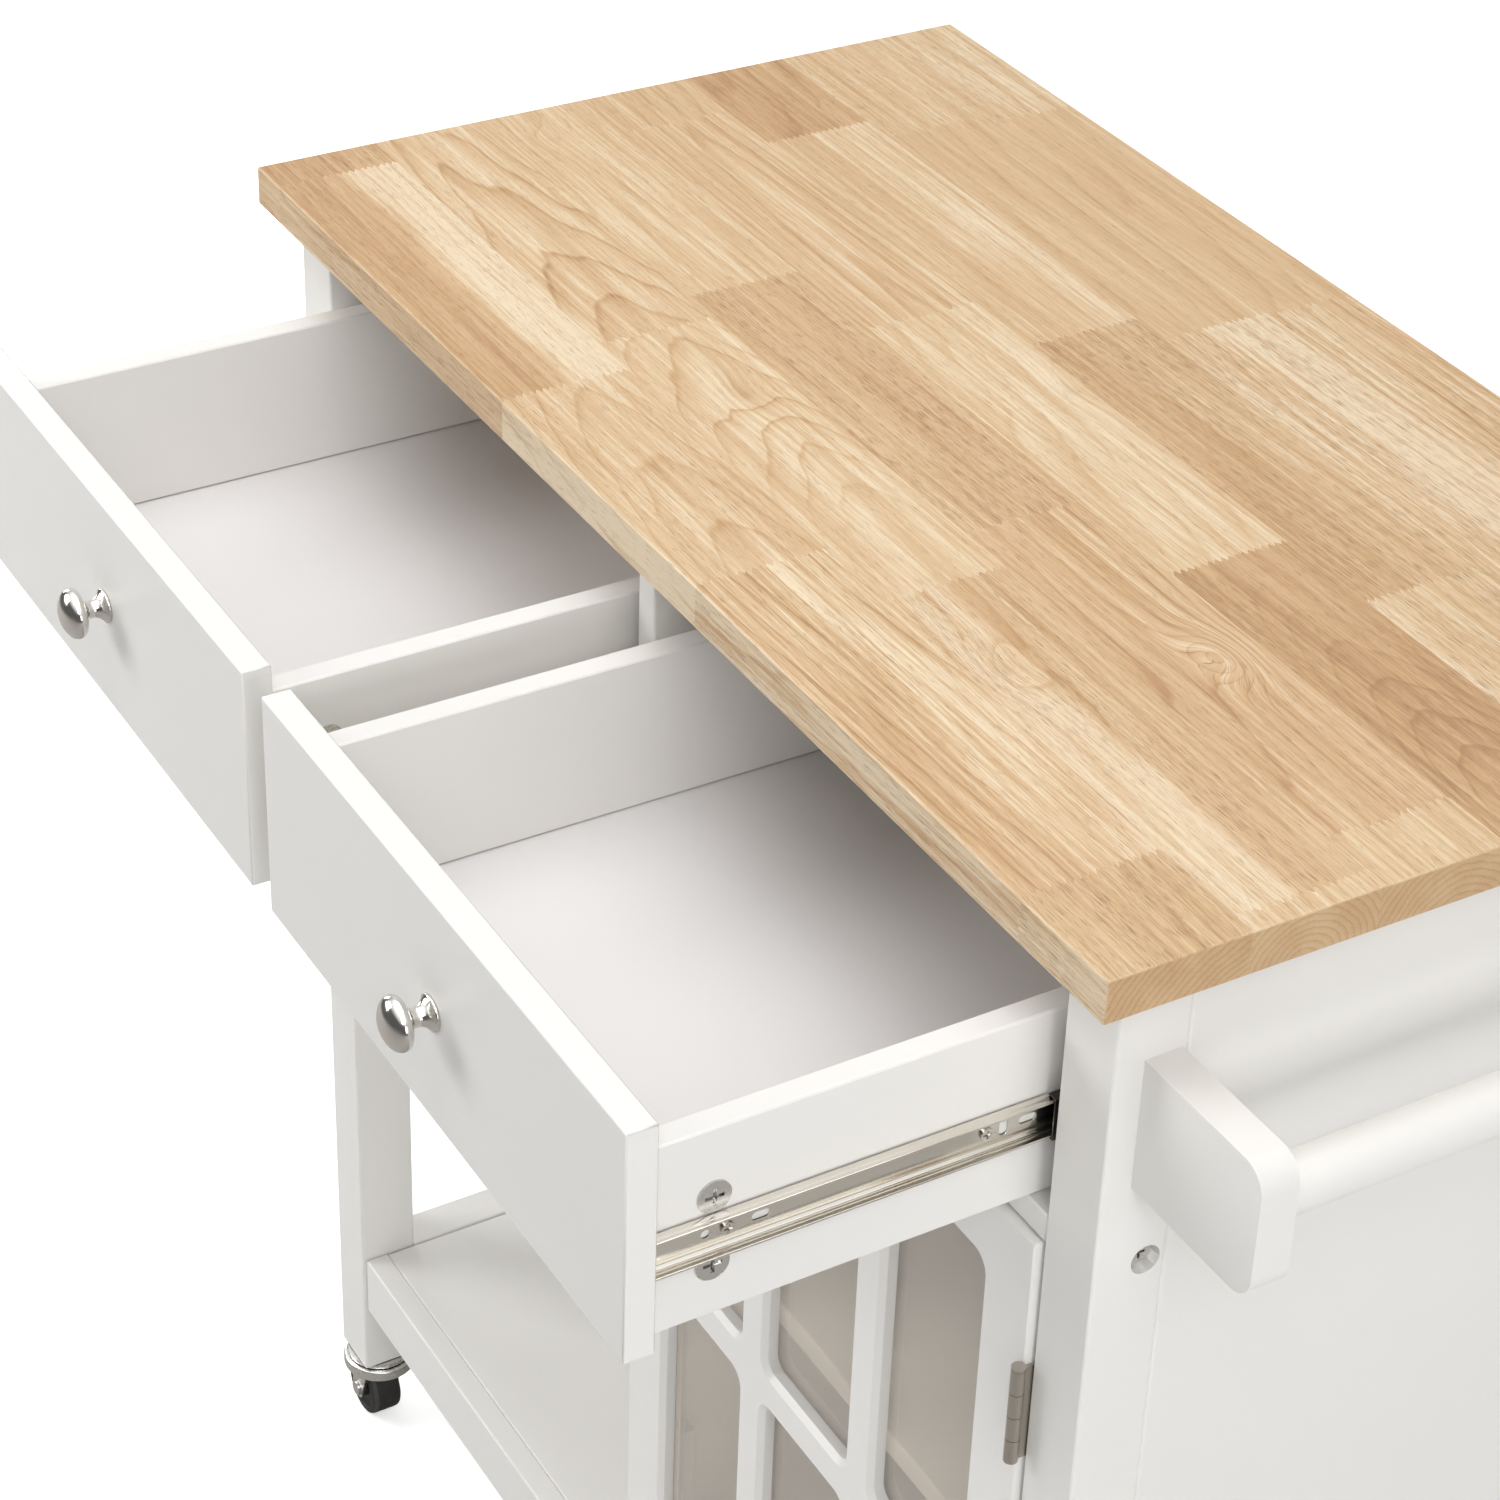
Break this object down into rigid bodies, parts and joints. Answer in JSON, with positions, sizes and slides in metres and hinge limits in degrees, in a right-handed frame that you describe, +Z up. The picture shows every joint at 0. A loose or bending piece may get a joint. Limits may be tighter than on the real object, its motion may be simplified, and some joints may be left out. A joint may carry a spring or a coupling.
{
  "type": "kitchen cart",
  "caption": "White rolling kitchen cart with a laminated wood top, pull-out drawers, an open bay, a glazed cabinet door, a towel bar and swivel casters.",
  "frame": {"origin": "bottom centre of the rest pose's box, on the floor under the wheels", "axes": "+X to the cart's right (towel bar side), -Y to the front (drawer fronts), +Z up"},
  "size_m": [0.8924, 0.66, 0.918],
  "materials": {
    "oiled_wood": "clear oiled rubberwood, laminated staves",
    "white_paint": "satin white paint on board",
    "satin_nickel": "satin nickel",
    "polished_nickel": "polished nickel",
    "zinc_steel": "zinc plated steel",
    "tinted_glass": "clear float glass",
    "black_tyre": "hard black rubber",
    "grey_plastic": "moulded plastic"
  },
  "bodies": {
    "frame": {"back_panel": "white_paint", "bottom_shelf": "white_paint", "cabinet_shelf": "white_paint", "caster_mounts": "zinc_steel", "divider_panel": "white_paint", "drawer_rail": "white_paint", "drawer_stile": "white_paint", "frame_bolts": "zinc_steel", "frame_screws": "zinc_steel", "front_bottom_rail": "white_paint", "front_left_leg": "white_paint", "front_right_leg": "white_paint", "hinge_post_leaves": "satin_nickel", "left_apron": "white_paint", "magnet_catch": "grey_plastic", "rear_apron": "white_paint", "rear_bottom_rail": "white_paint", "rear_left_leg": "white_paint", "rear_right_leg": "white_paint", "right_side_panel": "white_paint", "shelf_pins": "zinc_steel", "side_bottom_rails": "white_paint", "slide_battens": "white_paint", "slide_cabinet_members": "zinc_steel", "tabletop": "oiled_wood", "top_front_rail": "white_paint", "towel_bar": "white_paint", "towel_brackets": "white_paint"},
    "left_drawer": {"left_drawer_back": "white_paint", "left_drawer_bottom": "white_paint", "left_drawer_fittings": "zinc_steel", "left_drawer_front": "white_paint", "left_drawer_knob": "polished_nickel", "left_drawer_left_side": "white_paint", "left_drawer_rails": "zinc_steel", "left_drawer_right_side": "white_paint"},
    "right_drawer": {"right_drawer_back": "white_paint", "right_drawer_bottom": "white_paint", "right_drawer_fittings": "zinc_steel", "right_drawer_front": "white_paint", "right_drawer_knob": "polished_nickel", "right_drawer_left_side": "white_paint", "right_drawer_rails": "zinc_steel", "right_drawer_right_side": "white_paint"},
    "left_cages": {"left_slide_cages": "zinc_steel"},
    "right_cages": {"right_slide_cages": "zinc_steel"},
    "door": {"door_frame": "white_paint", "door_glass": "tinted_glass", "door_glass_beads": "white_paint", "door_hinge_leaves": "satin_nickel", "door_knob": "polished_nickel", "door_strike_plate": "zinc_steel"},
    "front_left_swivel": {"front_left_caster_fork": "zinc_steel"},
    "front_left_wheel": {"front_left_caster_wheel": "black_tyre"},
    "front_right_swivel": {"front_right_caster_fork": "zinc_steel"},
    "front_right_wheel": {"front_right_caster_wheel": "black_tyre"},
    "rear_left_swivel": {"rear_left_caster_fork": "zinc_steel"},
    "rear_left_wheel": {"rear_left_caster_wheel": "black_tyre"},
    "rear_right_swivel": {"rear_right_caster_fork": "zinc_steel"},
    "rear_right_wheel": {"rear_right_caster_wheel": "black_tyre"}
  },
  "joints": [
    {"name": "left_drawer_slide", "type": "slide", "parent": "frame", "child": "left_drawer", "axis": [0, -1, 0], "range_m": [-0.2015, 0.0485]},
    {"name": "left_cage_slide", "type": "slide", "parent": "frame", "child": "left_cages", "axis": [0, -1, 0], "range_m": [-0.10075, 0.02425]},
    {"name": "right_drawer_slide", "type": "slide", "parent": "frame", "child": "right_drawer", "axis": [0, -1, 0], "range_m": [-0.2015, 0.0485]},
    {"name": "right_cage_slide", "type": "slide", "parent": "frame", "child": "right_cages", "axis": [0, -1, 0], "range_m": [-0.10075, 0.02425]},
    {"name": "door_hinge", "type": "hinge", "parent": "frame", "child": "door", "pos_m": [0.32675, -0.108, 0.446], "axis": [0, 0, 1], "range_deg": [0, 170]},
    {"name": "front_left_swivel", "type": "hinge", "parent": "frame", "child": "front_left_swivel", "pos_m": [-0.41425, -0.0825, 0.061], "axis": [0, 0, 1], "continuous": true},
    {"name": "front_left_roll", "type": "hinge", "parent": "front_left_swivel", "child": "front_left_wheel", "pos_m": [-0.42325, -0.0825, 0.02], "axis": [0, 1, 0], "continuous": true},
    {"name": "front_right_swivel", "type": "hinge", "parent": "frame", "child": "front_right_swivel", "pos_m": [0.34575, -0.0825, 0.061], "axis": [0, 0, 1], "continuous": true},
    {"name": "front_right_roll", "type": "hinge", "parent": "front_right_swivel", "child": "front_right_wheel", "pos_m": [0.33675, -0.0825, 0.02], "axis": [0, 1, 0], "continuous": true},
    {"name": "rear_left_swivel", "type": "hinge", "parent": "frame", "child": "rear_left_swivel", "pos_m": [-0.41425, 0.2965, 0.061], "axis": [0, 0, 1], "continuous": true},
    {"name": "rear_left_roll", "type": "hinge", "parent": "rear_left_swivel", "child": "rear_left_wheel", "pos_m": [-0.42325, 0.2965, 0.02], "axis": [0, 1, 0], "continuous": true},
    {"name": "rear_right_swivel", "type": "hinge", "parent": "frame", "child": "rear_right_swivel", "pos_m": [0.34575, 0.2965, 0.061], "axis": [0, 0, 1], "continuous": true},
    {"name": "rear_right_roll", "type": "hinge", "parent": "rear_right_swivel", "child": "rear_right_wheel", "pos_m": [0.33675, 0.2965, 0.02], "axis": [0, 1, 0], "continuous": true}
  ],
  "couplings": [
    {"joint": "left_cage_slide", "follows": "left_drawer_slide", "ratio": 0.5},
    {"joint": "right_cage_slide", "follows": "right_drawer_slide", "ratio": 0.5}
  ]
}
